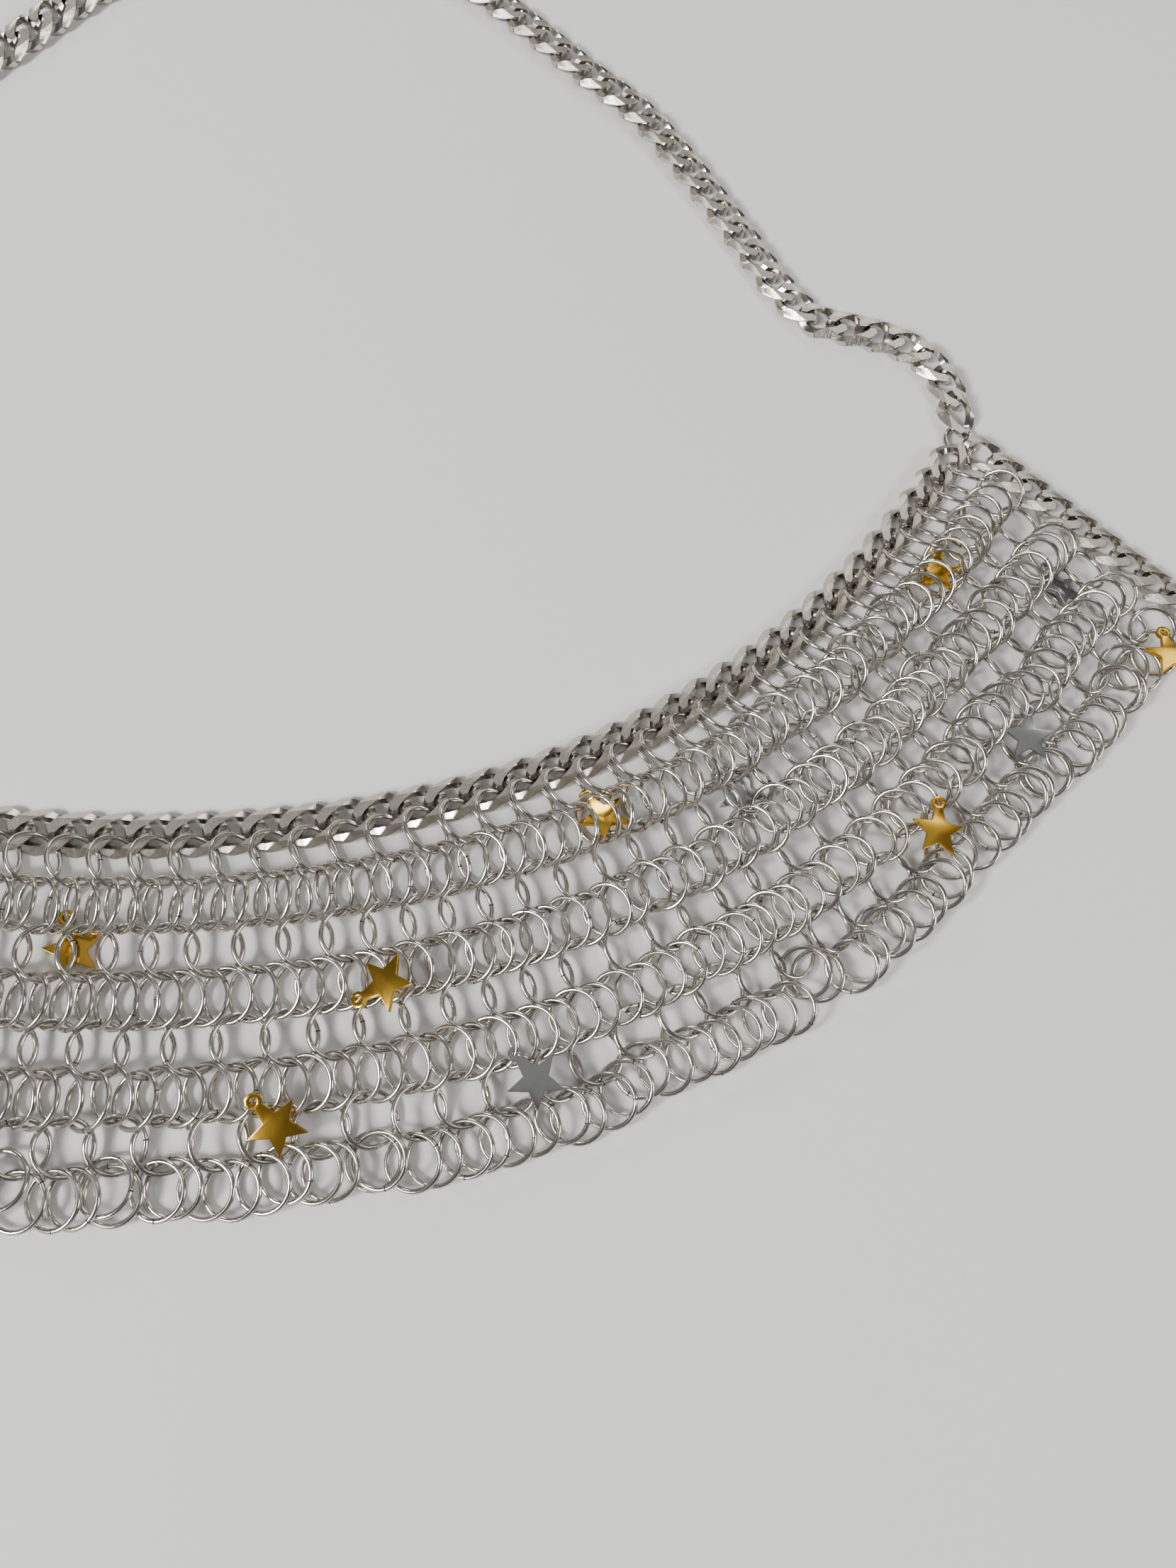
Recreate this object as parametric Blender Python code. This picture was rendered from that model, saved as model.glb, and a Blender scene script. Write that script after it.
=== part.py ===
"""Chainmail halter top laid flat: a faceted curb chain neckline carries a band of ring mail,
a neck loop and two side chains run from its upper corners, and star charms hang in the mail.

Metres, +Z up, +Y towards the neck. The underside lies on z = 0."""

import math
from collections import namedtuple

import bmesh
import bpy
from mathutils import Matrix, Vector

MM = 0.001
NAME = "chainmail_halter_top"

# Driving sizes of the rings and chains
RING_OUTER = 10.0 * MM
GAP = 0.3 * MM
LINK_PITCH = 6.25 * MM
CHAIN_WIDTH = 8.0 * MM
CHAIN_WAIST = 6.2 * MM
CHAIN_HEIGHT = 2.4 * MM
CHAIN_BEVEL = 0.7 * MM
CHAIN_FACET_DROP = 0.8 * MM

# Neckline, as laid: half its chord, how deep it scoops, and its radius at the front
HALF_CHORD = 153.0 * MM
SCOOP = 79.0 * MM
FRONT_RADIUS = 217.0 * MM
CORNER_RING_OUTER = 7.6 * MM
CORNER_RING_WIRE = 1.2 * MM

# Mail band: one column of rings for each link between its ends
COLUMNS = 56
FLOOR_Z = 1.6 * MM
RIDGE_Z = 6.4 * MM
RIDGE_WAVE = 0.5 * MM
HEM_Z = 2.4 * MM
HEM_LOBE = 2.6 * MM
SIDE_SLOPE = math.radians(-41.6)
SHOULDER_PLACE = 0.66
SHOULDER_RISE = 0.72

# Gaps between the rings: rim left at a row's edges, flare at its corners, least width, hem lozenge
GAP_RIM = 0.35 * MM
GAP_FLARE = 0.6 * MM
GAP_LEAST = 4.2 * MM
HEM_GAP = 4.6 * MM
HEM_GAP_DROP = 0.5 * MM

# Rows across the band, top to bottom: middle, half width and kind of each row of rings, and how far
# its rings are offset from the links, in columns
Row = namedtuple("Row", ["middle", "half", "kind", "offset"])
ROWS = [
    Row(5.4 * MM, 1.0 * MM, "link", 0.5),
    Row(11.2 * MM, 4.8 * MM, "leaning", 0.25),
    Row(19.1 * MM, 3.1 * MM, "flat", 0.0),
    Row(27.0 * MM, 4.8 * MM, "leaning", 0.25),
    Row(34.9 * MM, 3.1 * MM, "flat", 0.5),
    Row(42.8 * MM, 4.8 * MM, "leaning", 0.25),
    Row(50.7 * MM, 3.1 * MM, "flat", 0.0),
    Row(58.3 * MM, 4.5 * MM, "hem", 0.0),
]
BAND_DEPTH = 62.8 * MM

# How deep the band reaches, from its middle (0) to its sides (1)
Reach = namedtuple("Reach", ["place", "depth"])
REACHES = [
    Reach(0.00, 62.8 * MM),
    Reach(0.22, 63.5 * MM),
    Reach(0.45, 60.5 * MM),
    Reach(0.75, 56.5 * MM),
    Reach(0.90, 60.0 * MM),
    Reach(1.00, 68.0 * MM),
]

# Routes of the chains that are laid by hand, x and y in millimetres
NECK_LOOP = [
    (-153, 83), (-151, 92), (-142, 103), (-124, 110), (-102, 116), (-80, 127), (-60, 142.5),
    (-39.3, 162.1), (-23.5, 178.8), (-4, 195), (20, 202), (43, 197), (61.7, 185.1), (80.2, 167.7),
    (91.3, 157.6), (100.1, 145.1), (109.8, 128.9), (117.5, 115), (125.2, 106.8), (137.0, 103.8),
    (146.5, 99.5), (151.5, 92), (153, 83),
]
SIDE_CHAIN = [
    (157.0, 75.4), (181.0, 54.2), (205.0, 32.9), (224, 17.5), (246, 8), (272, 5), (298, 8), (322, 12),
    (346, 13),
]

# Star charms: column and flat row they hang in, degrees they are turned, and their metal
Star = namedtuple("Star", ["column", "row", "turn", "metal"])
STARS = [
    Star(-2.1, 2, 20, "gold"), Star(4.6, 4, -35, "gold"), Star(2.1, 6, 70, "gold"),
    Star(11.0, 2, 160, "gold"), Star(23.0, 2, -10, "gold"), Star(18.3, 6, 95, "gold"),
    Star(26.9, 6, 15, "gold"), Star(7.4, 6, 200, "steel"), Star(15.1, 2, 45, "steel"),
    Star(26.1, 4, 120, "steel"), Star(22.4, 6, -60, "steel"), Star(-8.6, 4, 110, "gold"),
    Star(-14.0, 6, 30, "gold"), Star(-18.8, 2, -75, "gold"), Star(-25.8, 4, 10, "gold"),
    Star(-5.4, 6, 65, "steel"), Star(-12.4, 2, 190, "steel"), Star(-22.6, 6, 140, "steel"),
]
STAR_RADIUS = 4.7 * MM
STAR_WAIST = 2.1 * MM
STAR_THICK = 0.9 * MM
STAR_EYE = 1.3 * MM
STAR_EYE_HOLE = 0.7 * MM
STAR_EYE_RISE = 0.7 * MM
STAR_NECK_DROP = 0.6 * MM
STAR_LEAN = math.radians(33)
STAR_SHIFT = 2.9 * MM
STAR_CLEAR = 0.4 * MM

HOOK_WIRE = 1.4 * MM
HOOK_BEND = 3.2 * MM
END_RING_OUTER = 10.0 * MM
END_RING_WIRE = 1.2 * MM

FINISHES = {
    "steel_rings": ((0.55, 0.53, 0.50), 0.25, 1.0),
    "steel_chain": ((0.60, 0.58, 0.55), 0.18, 1.0),
    "gold_star": ((0.83, 0.60, 0.20), 0.25, 1.0),
    "steel_star": ((0.52, 0.52, 0.52), 0.30, 1.0),
}


def clear_scene():
    """Remove every object, so the model starts from nothing."""
    for obj in list(bpy.data.objects):
        bpy.data.objects.remove(obj, do_unlink=True)


def make_collection(name):
    """A new collection in the scene."""
    collection = bpy.data.collections.new(name)
    bpy.context.scene.collection.children.link(collection)
    return collection


def make_material(name, finish):
    """A Principled material with the finish's colour, roughness and metallic value."""
    colour, roughness, metallic = FINISHES[finish]
    material = bpy.data.materials.new(name)
    material.use_nodes = True
    shader = material.node_tree.nodes["Principled BSDF"]
    shader.inputs["Base Color"].default_value = (*colour, 1.0)
    shader.inputs["Roughness"].default_value = roughness
    shader.inputs["Metallic"].default_value = metallic
    return material


def add_object(name, mesh, collection, finish):
    """Link a mesh as one named sub-part with its own material."""
    obj = bpy.data.objects.new(name, mesh)
    mesh.materials.append(make_material(name, finish))
    collection.objects.link(obj)
    return obj


def mesh_from(bm, name):
    """Close a bmesh into a mesh whose faces point out."""
    bmesh.ops.recalc_face_normals(bm, faces=bm.faces)
    mesh = bpy.data.meshes.new(name)
    bm.to_mesh(mesh)
    bm.free()
    return mesh


class Route:
    """A line in the plane, read by the distance along it."""

    def __init__(self, points):
        self.points = [Vector(p) for p in points]
        self.marks = [0.0]
        for a, b in zip(self.points, self.points[1:]):
            self.marks.append(self.marks[-1] + (b - a).length)
        self.length = self.marks[-1]

    def at(self, distance):
        """Point and unit tangent at a distance from the start."""
        index = 0
        while index < len(self.marks) - 2 and self.marks[index + 1] < distance:
            index += 1
        a, b = self.points[index], self.points[index + 1]
        span = self.marks[index + 1] - self.marks[index]
        return a.lerp(b, (distance - self.marks[index]) / span), (b - a).normalized()


def smooth_route(table, steps=10):
    """A Catmull-Rom line through a table of points in millimetres."""
    points = [Vector(p) * MM for p in table]
    points = [2 * points[0] - points[1]] + points + [2 * points[-1] - points[-2]]
    line = []
    for p0, p1, p2, p3 in zip(points, points[1:], points[2:], points[3:]):
        for step in range(steps):
            t = step / steps
            line.append(0.5 * (2 * p1 + (p2 - p0) * t + (2 * p0 - 5 * p1 + 4 * p2 - p3) * t ** 2
                               + (3 * p1 - p0 - 3 * p2 + p3) * t ** 3))
    return Route(line + [points[-2]])


def neckline_height(x):
    """Height of the neckline at x: a round front that steepens to its corners."""
    steepening = (SCOOP - HALF_CHORD ** 2 / (2 * FRONT_RADIUS)) / HALF_CHORD ** 4
    return x ** 2 / (2 * FRONT_RADIUS) + steepening * x ** 4


def neckline_route(steps=240):
    """The neckline's middle line, from the left corner to the right one."""
    places = [HALF_CHORD * (2 * i / steps - 1) for i in range(steps + 1)]
    return Route([(x, neckline_height(x)) for x in places])


def reach_at(side):
    """How deep the band reaches at a side place, with eased steps between the table's rows."""
    place = abs(side)
    for near, far in zip(REACHES, REACHES[1:]):
        if place <= far.place:
            t = (place - near.place) / (far.place - near.place)
            return near.depth + (far.depth - near.depth) * t * t * (3 - 2 * t)
    return REACHES[-1].depth


def loft(name, sections):
    """A closed body through sections that have the same number of points."""
    bm = bmesh.new()
    rings = [[bm.verts.new(p) for p in section] for section in sections]
    for near, far in zip(rings, rings[1:]):
        for i in range(len(near)):
            j = (i + 1) % len(near)
            bm.faces.new((near[i], near[j], far[j], far[i]))
    bm.faces.new(rings[0])
    bm.faces.new(list(reversed(rings[-1])))
    return mesh_from(bm, name)


def chain_section(point, tangent, left, right):
    """Cross-section of a curb chain: flat below, bevelled at its edges, highest where it is widest."""
    across = Vector((-tangent.y, tangent.x))
    left_top = CHAIN_HEIGHT - (CHAIN_FACET_DROP if left < right else 0.0)
    right_top = CHAIN_HEIGHT - (CHAIN_FACET_DROP if right < left else 0.0)
    outline = [(-right + CHAIN_BEVEL, 0.0), (-right, CHAIN_HEIGHT / 2), (-right + CHAIN_BEVEL, right_top),
               (left - CHAIN_BEVEL, left_top), (left, CHAIN_HEIGHT / 2), (left - CHAIN_BEVEL, 0.0)]
    return [(*(point + across * offset), z) for offset, z in outline]


def chain(name, route, start, end, collection):
    """A curb chain between two distances on a route: its edges swell in turn, a link at a time."""
    count = max(1, round((end - start) / LINK_PITCH)) * 2
    sections = []
    for i in range(count + 1):
        point, tangent = route.at(start + (end - start) * i / count)
        edges = (CHAIN_WIDTH / 2, CHAIN_WAIST / 2) if i % 2 else (CHAIN_WAIST / 2, CHAIN_WIDTH / 2)
        sections.append(chain_section(point, tangent, *edges))
    return add_object(name, loft(name, sections), collection, "steel_chain")


class Band:
    """The mail band's own map: a column and a depth below the neckline give a place."""

    def __init__(self, neckline):
        self.neckline = neckline
        corner, tangent = neckline.at(neckline.length)
        down = Vector((tangent.y, -tangent.x))
        side = Vector((math.cos(SIDE_SLOPE), math.sin(SIDE_SLOPE)))
        self.skew = down.angle_signed(side)
        self.inset = (CHAIN_WIDTH / 2 + GAP) / math.cos(self.skew)

    def place(self, column, depth):
        """Plane point at a column (0 in the middle) and a depth, drawn to the band's outline."""
        side = column / (COLUMNS / 2)
        half = self.neckline.length / 2
        point, tangent = self.neckline.at(half + side * (half - self.inset))
        down = Vector((tangent.y, -tangent.x))
        down.rotate(Matrix.Rotation(-self.skew * side * abs(side), 2))
        reach = reach_at(side) / BAND_DEPTH
        top = CHAIN_WIDTH / 2 + GAP
        return point + down * (top + (depth - top) * reach)


def band_stations():
    """Depth and height of each line along the band: low rows between rounded ridges."""
    stations = []
    for middle, half, kind, _ in ROWS:
        if kind == "link":
            stations += [(CHAIN_WIDTH / 2 + GAP, FLOOR_Z, 0.0)]
        elif kind == "leaning":
            shoulder = FLOOR_Z + SHOULDER_RISE * (RIDGE_Z - FLOOR_Z)
            stations += [(middle - half, FLOOR_Z, 0.0), (middle - SHOULDER_PLACE * half, shoulder, 0.5),
                         (middle, RIDGE_Z, 1.0), (middle + SHOULDER_PLACE * half, shoulder, 0.5),
                         (middle + half, FLOOR_Z, 0.0)]
        elif kind == "hem":
            stations += [(middle - half, FLOOR_Z, 0.0), (middle - 0.5 * half, HEM_Z, 0.0)]
    return stations


def mail_mesh(band):
    """The band's wall: ridges for the leaning rows, a flat underside and a lobed hem."""
    bm = bmesh.new()
    lines = [i / 2 for i in range(-COLUMNS, COLUMNS + 1)]
    stations = band_stations()

    def top_vertex(column, depth, z, share):
        wave = RIDGE_WAVE * share * (1 if column % 1 else -1)
        return bm.verts.new((*band.place(column, depth), z + wave))

    grid = [[top_vertex(column, *station) for column in lines] for station in stations]
    hem_lines = [i / 4 for i in range(-2 * COLUMNS, 2 * COLUMNS + 1)]
    hem = []
    for column in hem_lines:
        lobe = HEM_LOBE * abs(math.cos(math.pi * column))
        hem.append(bm.verts.new((*band.place(column, BAND_DEPTH - HEM_LOBE + lobe), HEM_Z)))
    upper_foot = [bm.verts.new((v.co.x, v.co.y, 0.0)) for v in grid[0]]
    lower_foot = [bm.verts.new((v.co.x, v.co.y, 0.0)) for v in hem]

    flat_rows = [i for i in range(len(stations) - 1) if stations[i][1] == stations[i + 1][1] == FLOOR_Z]
    for i in range(len(stations) - 1):
        near, far = grid[i], grid[i + 1]
        step = 2 if i in flat_rows and i > 0 else 1
        for j in range(0, len(lines) - 1, step):
            bm.faces.new(near[j:j + step + 1] + far[j:j + step + 1][::-1])
    for j in range(len(lines) - 1):
        bm.faces.new((grid[-1][j], grid[-1][j + 1], hem[2 * j + 2], hem[2 * j + 1], hem[2 * j]))
        bm.faces.new((grid[0][j], upper_foot[j], upper_foot[j + 1], grid[0][j + 1]))
    for j in range(len(hem) - 1):
        bm.faces.new((hem[j], hem[j + 1], lower_foot[j + 1], lower_foot[j]))
    for k in range(COLUMNS):
        bm.faces.new(upper_foot[2 * k:2 * k + 3] + lower_foot[4 * k:4 * k + 5][::-1])
    for end in (0, -1):
        bm.faces.new([row[end] for row in grid] + [hem[end], lower_foot[end], upper_foot[end]])
    return mesh_from(bm, "mail_front")


def gap_outline(band, column, middle, half):
    """The gap between flat rings of one row: waisted by the rings on its two sides."""
    pitch = (band.place(column + 0.5, middle) - band.place(column - 0.5, middle)).length
    waist = max(2 * pitch - RING_OUTER, GAP_LEAST) / 2 / pitch
    flare = waist + GAP_FLARE / pitch
    reach = half - GAP_RIM
    corners = [(-flare, -reach), (flare, -reach), (waist, 0.0),
               (flare, reach), (-flare, reach), (-waist, 0.0)]
    return [band.place(column + across, middle + along) for across, along in corners]


def hem_gap_outline(band, column, middle):
    """The gap inside one pair of hem rings, a lozenge."""
    pitch = (band.place(column + 0.5, middle) - band.place(column - 0.5, middle)).length
    across = HEM_GAP / 2 / pitch
    corners = [(-across, 0.0), (0.0, -HEM_GAP / 2), (across, 0.0), (0.0, HEM_GAP / 2)]
    return [band.place(column + side, middle + along) for side, along in corners]


def gap_cutters(band, collection):
    """One cutter with a prism for each gap in the flat rows and the hem."""
    bm = bmesh.new()
    for middle, half, kind, offset in ROWS:
        if kind not in ("flat", "hem"):
            continue
        for k in range(COLUMNS if offset else COLUMNS - 1):
            column = k + (offset or 1.0) - COLUMNS / 2
            if kind == "flat":
                outline = gap_outline(band, column, middle, half)
            else:
                outline = hem_gap_outline(band, column, middle + HEM_GAP_DROP)
            low = [bm.verts.new((*p, -2 * MM)) for p in outline]
            high = [bm.verts.new((*p, 2 * HEM_Z)) for p in outline]
            bm.faces.new(low)
            bm.faces.new(high[::-1])
            for i in range(len(low)):
                j = (i + 1) % len(low)
                bm.faces.new((low[i], low[j], high[j], high[i]))
    cutter = bpy.data.objects.new("mail_gaps", mesh_from(bm, "mail_gaps"))
    cutter.display_type = "WIRE"
    cutter.hide_render = True
    collection.objects.link(cutter)
    return cutter


def mail_front(band, collection, cutters):
    """The ring mail, with the gaps of its flat rows cut through."""
    obj = add_object("mail_front", mail_mesh(band), collection, "steel_rings")
    cut = obj.modifiers.new("gaps", "BOOLEAN")
    cut.operation = "DIFFERENCE"
    cut.solver = "EXACT"
    cut.object = gap_cutters(band, cutters)
    return obj


def wire_ring(name, centre, outer, wire, collection):
    """A closed ring of round wire lying flat."""
    bpy.ops.mesh.primitive_torus_add(major_segments=16, minor_segments=5, location=(0, 0, 0),
                                     major_radius=(outer - wire) / 2, minor_radius=wire / 2)
    primitive = bpy.context.object
    mesh = primitive.data
    bpy.data.objects.remove(primitive, do_unlink=True)
    mesh.shade_smooth()
    mesh.name = name
    obj = add_object(name, mesh, collection, "steel_chain")
    low = min(v.co.z for v in mesh.vertices)
    obj.location = (*centre, -low)
    return obj


def s_hook(name, start, direction, collection):
    """A plain S-hook bent from one wire, lying flat."""
    curve = bpy.data.curves.new(name, "CURVE")
    curve.dimensions = "3D"
    curve.bevel_depth = HOOK_WIRE / 2
    curve.bevel_resolution = 1
    curve.use_fill_caps = True
    curve.materials.append(make_material(name, "steel_chain"))
    turns = [math.radians(a) for a in range(-90, 151, 30)]
    upper = [Vector((HOOK_BEND * math.cos(a), HOOK_BEND * (1 + math.sin(a)))) for a in turns]
    points = upper[::-1] + [-p for p in upper[1:]]
    spline = curve.splines.new("POLY")
    spline.points.add(len(points) - 1)
    along = math.atan2(direction.y, direction.x) - math.pi / 2
    for item, p in zip(spline.points, points):
        p.rotate(Matrix.Rotation(along, 2))
        item.co = (*p, 0.0, 1.0)
    obj = bpy.data.objects.new(name, curve)
    collection.objects.link(obj)
    reach = 2 * HOOK_BEND + HOOK_WIRE / 2 + GAP
    obj.location = (*(start + direction * reach), HOOK_WIRE / 2)
    return obj


def star_outline():
    """Outline of a five-pointed star with a round eye at its upper point, and the eye's hole."""
    eye_middle = STAR_RADIUS + STAR_EYE_RISE
    outline = []
    for i in range(1, 10):
        radius = STAR_WAIST if i % 2 else STAR_RADIUS
        angle = math.radians(90 + 36 * i)
        outline.append((radius * math.cos(angle), radius * math.sin(angle)))
    for step in range(5):
        angle = math.radians(-60 + 75 * step)
        height = max(STAR_RADIUS - STAR_NECK_DROP, eye_middle + STAR_EYE * math.sin(angle))
        outline.append((STAR_EYE * math.cos(angle), height))
    sixths = [math.radians(60 * i) for i in range(6)]
    hole = [(STAR_EYE_HOLE * math.cos(a), eye_middle + STAR_EYE_HOLE * math.sin(a)) for a in sixths]
    return outline, hole


def star_mesh(name):
    """A flat star charm, extruded from its outline."""
    curve = bpy.data.curves.new(name, "CURVE")
    curve.dimensions = "2D"
    curve.fill_mode = "BOTH"
    curve.extrude = STAR_THICK / 2
    for loop in star_outline():
        spline = curve.splines.new("POLY")
        spline.use_cyclic_u = True
        spline.points.add(len(loop) - 1)
        for item, (x, y) in zip(spline.points, loop):
            item.co = (x, y, 0.0, 1.0)
    holder = bpy.data.objects.new(name, curve)
    bpy.context.scene.collection.objects.link(holder)
    evaluated = holder.evaluated_get(bpy.context.evaluated_depsgraph_get())
    mesh = bpy.data.meshes.new_from_object(evaluated)
    bpy.data.objects.remove(holder, do_unlink=True)
    bm = bmesh.new()
    bm.from_mesh(mesh)
    bmesh.ops.remove_doubles(bm, verts=bm.verts, dist=0.00001)
    return mesh_from(bm, name)


def wall_height(depth):
    """Height of the band's top at a depth, with its waves at their highest."""
    stations = band_stations() + [(BAND_DEPTH, HEM_Z, 0.0)]
    for (a, low, rise_a), (b, high, rise_b) in zip(stations, stations[1:]):
        if a <= depth <= b:
            t = (depth - a) / (b - a)
            return low + (high - low) * t + RIDGE_WAVE * (rise_a + (rise_b - rise_a) * t)
    return 0.0


def resting_height(depth, scale, turn):
    """Lowest height of a leaning star's middle that keeps its underside clear of the wall."""
    outline, _ = star_outline()
    heights = []
    for x, y in outline:
        up_slope = x * math.sin(turn) + y * math.cos(turn)
        for share in (0.0, 0.25, 0.5, 0.75, 1.0):
            along = up_slope * share
            wall = wall_height(depth - along * math.cos(STAR_LEAN) / scale)
            heights.append(wall - along * math.sin(STAR_LEAN))
    return max(heights) + STAR_THICK / 2 / math.cos(STAR_LEAN) + STAR_CLEAR


def star_charm(index, star, band, collection):
    """A star that leans from the floor of its row on the ridge above it."""
    row = ROWS[star.row]
    scale = reach_at(star.column / (COLUMNS / 2)) / BAND_DEPTH
    depth = row.middle - STAR_SHIFT / scale
    here, below = band.place(star.column, depth), band.place(star.column, row.middle + row.half)
    uphill = (here - below).normalized()
    side = Vector((uphill.y, -uphill.x, 0.0))
    slope = Vector((*(uphill * math.cos(STAR_LEAN)), math.sin(STAR_LEAN)))
    frame = Matrix((side, slope, side.cross(slope))).transposed().to_4x4()
    turn = math.radians(star.turn)
    centre = (*here, resting_height(depth, scale, turn))
    name = "star_%s_%02d" % (star.metal, index)
    obj = add_object(name, star_mesh(name), collection, star.metal + "_star")
    obj.matrix_world = Matrix.Translation(centre) @ frame @ Matrix.Rotation(turn, 4, "Z")
    return obj


def seat_at_origin(objects, cutters):
    """Move the whole top so the middle of its box stands over the origin."""
    bpy.context.view_layer.update()
    depsgraph = bpy.context.evaluated_depsgraph_get()
    corners = []
    for obj in objects:
        evaluated = obj.evaluated_get(depsgraph)
        corners += [obj.matrix_world @ v.co for v in evaluated.to_mesh().vertices]
        evaluated.to_mesh_clear()
    xs, ys = [c.x for c in corners], [c.y for c in corners]
    lay = bpy.data.objects.new("lay", None)
    bpy.context.scene.collection.objects.link(lay)
    lay.location = (-(min(xs) + max(xs)) / 2, -(min(ys) + max(ys)) / 2, 0.0)
    for obj in objects + cutters:
        obj.parent = lay


def build():
    """Model the whole top."""
    clear_scene()
    parts = make_collection(NAME)
    cutters = make_collection("cutters")
    neckline = neckline_route()
    band = Band(neckline)
    clear = CORNER_RING_OUTER / 2 + GAP
    made = [mail_front(band, parts, cutters)]
    made.append(chain("neckline_chain", neckline, clear, neckline.length - clear, parts))
    loop = smooth_route(NECK_LOOP)
    made.append(chain("neck_loop_chain", loop, 0.0, loop.length, parts))
    ends = {}
    for side, sign in (("right", 1), ("left", -1)):
        route = smooth_route([(sign * x, y) for x, y in SIDE_CHAIN])
        made.append(chain("side_chain_" + side, route, 0.0, route.length, parts))
        made.append(wire_ring("corner_ring_" + side, (sign * HALF_CHORD, SCOOP), CORNER_RING_OUTER,
                              CORNER_RING_WIRE, parts))
        ends[side] = route.at(route.length)
    end, direction = ends["right"]
    made.append(s_hook("back_hook", end, direction, parts))
    end, direction = ends["left"]
    made.append(wire_ring("back_ring", end + direction * (END_RING_OUTER / 2 + GAP), END_RING_OUTER,
                          END_RING_WIRE, parts))
    for index, star in enumerate(STARS, 1):
        made.append(star_charm(index, star, band, parts))
    seat_at_origin(made, list(cutters.objects))


build()
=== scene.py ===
"""Looks for the chainmail halter top: linked rings, faceted curb chains, star charms and closure.

Lengths are millimetres in the garment's own frame, where the neckline's lowest point is the origin,
until a piece is laid in the part's frame."""

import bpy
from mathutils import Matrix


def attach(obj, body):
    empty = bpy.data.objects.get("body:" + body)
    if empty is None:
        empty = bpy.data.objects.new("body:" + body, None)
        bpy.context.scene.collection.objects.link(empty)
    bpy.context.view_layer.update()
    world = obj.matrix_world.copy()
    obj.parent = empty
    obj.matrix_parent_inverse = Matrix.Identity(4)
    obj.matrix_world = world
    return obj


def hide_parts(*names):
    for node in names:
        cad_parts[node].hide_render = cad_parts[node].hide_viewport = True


bl_info = {
    "name": "Chainmail Halter Top",
    "version": (1, 0, 0),
    "blender": (4, 5, 0),
    "location": "View3D > Sidebar > Halter Top",
    "description": "Builds the ring mail, curb chains, charms and closure of a chainmail halter top",
    "category": "Object",
}

from collections import namedtuple
from math import asin, atan2, cos, degrees, inf, pi, radians, sin, sqrt, tan

import bpy
import numpy as np
from mathutils import Matrix, Vector

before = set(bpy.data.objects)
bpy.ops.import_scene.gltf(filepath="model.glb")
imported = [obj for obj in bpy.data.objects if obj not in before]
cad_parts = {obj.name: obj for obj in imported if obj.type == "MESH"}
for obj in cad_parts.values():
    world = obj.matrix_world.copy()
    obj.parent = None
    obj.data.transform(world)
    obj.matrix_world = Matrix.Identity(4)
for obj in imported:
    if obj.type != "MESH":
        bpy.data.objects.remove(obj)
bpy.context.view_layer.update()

MM = 0.001
UP = (0.0, 0.0, 1.0)
LAY = Vector((-2.097, -71.552, 0.0))

# Rings of the mail
RING_OUTER = 10.0
WIRE = 1.0
RING_RADIUS = (RING_OUTER - WIRE) / 2
CLEAR = 0.03
TURN_EASE = 2 / RING_RADIUS ** 2

# Neckline, as laid
HALF_CHORD = 153.0
SCOOP = 79.0
FRONT_RADIUS = 217.0
SIDE_SLOPE = radians(-41.6)
COLUMNS = 56
SIDES = (("left", -1), ("right", 1))
BAND_DEPTH = 62.8
REACHES = [(0.00, 62.8), (0.22, 63.5), (0.45, 60.5), (0.75, 56.5), (0.90, 60.0), (1.00, 68.0)]

# Curb chain
CHAIN_WIDTH = 8.0
CHAIN_GAP = 0.3
BAND_TOP = CHAIN_WIDTH / 2 + CHAIN_GAP
LINK_PITCH = 6.25
LINK_HALF = 4.5
LINK_WIRE = 2.2
LINK_TWIST = radians(58)
LINK_TOP = 1.25
LINK_RIDGE = 2.45
LINK_SLOPE = radians(46)
LINK_SLACK = 0.2
LOOP_START, SIDE_START = 1.9, 0.5
LINK_ROLL = radians(2.5)
END_ROLL = radians(-8)

# Connectors and flat rings, which hold the leaning rings: depth, how much less deep they lie at the
# sides, offset from the links in columns, height, and degrees of tilt
Holder = namedtuple("Holder", ["row", "depth", "rise", "offset", "height", "tilt"])
HOLDERS = [
    Holder(0, 4.76, 0.0, 0.5, 4.14, -50.5),
    Holder(2, 19.9, 2.6, 0.0, 2.7, -9),
    Holder(4, 35.4, 2.6, 0.5, 2.7, -9),
    Holder(6, 50.6, 2.6, 0.0, 2.7, -9),
]
CONNECTOR_YAW = -4
CONNECTOR_PITCH = 33.3
CONNECTOR_SHIFT = 0.16
HEM_DEPTH = 57.0
HEM_TILT = 15
STEEPEST, FLATTEST = 64.0, 30.0
TIDY_COLUMNS = 6

# How the rings are laid and settle
LAY_TRIES = 260
DRAWN_TRIES = 80
LAST_SHIFT = (0.7, 0.7, 0.3)
LAST_TURN = 0.15
PAIRS_EVERY = 20
PAIR_REACH = 0.8
CONTACT_REACH = 0.6
SINKING_SHARE = 0.75
SINK = 0.012
HOME_PULL = 0.03
HELD_GIVE = 0.05
LARGEST_STEP = 0.12
CHARM_REACH = 13.0
OUT_OF_REACH = 9.0

NECK_LOOP = [
    (-153, 83), (-151, 92), (-142, 103), (-124, 110), (-102, 116), (-80, 127), (-60, 142.5),
    (-39.3, 162.1), (-23.5, 178.8), (-4, 195), (20, 202), (43, 197), (61.7, 185.1), (80.2, 167.7),
    (91.3, 157.6), (100.1, 145.1), (109.8, 128.9), (117.5, 115), (125.2, 106.8), (137.0, 103.8),
    (146.5, 99.5), (151.5, 92), (153, 83),
]
SIDE_CHAIN = [
    (157.0, 75.4), (181.0, 54.2), (205.0, 32.9), (224, 17.5), (246, 8), (272, 5), (298, 8), (322, 12),
    (346, 13),
]

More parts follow.
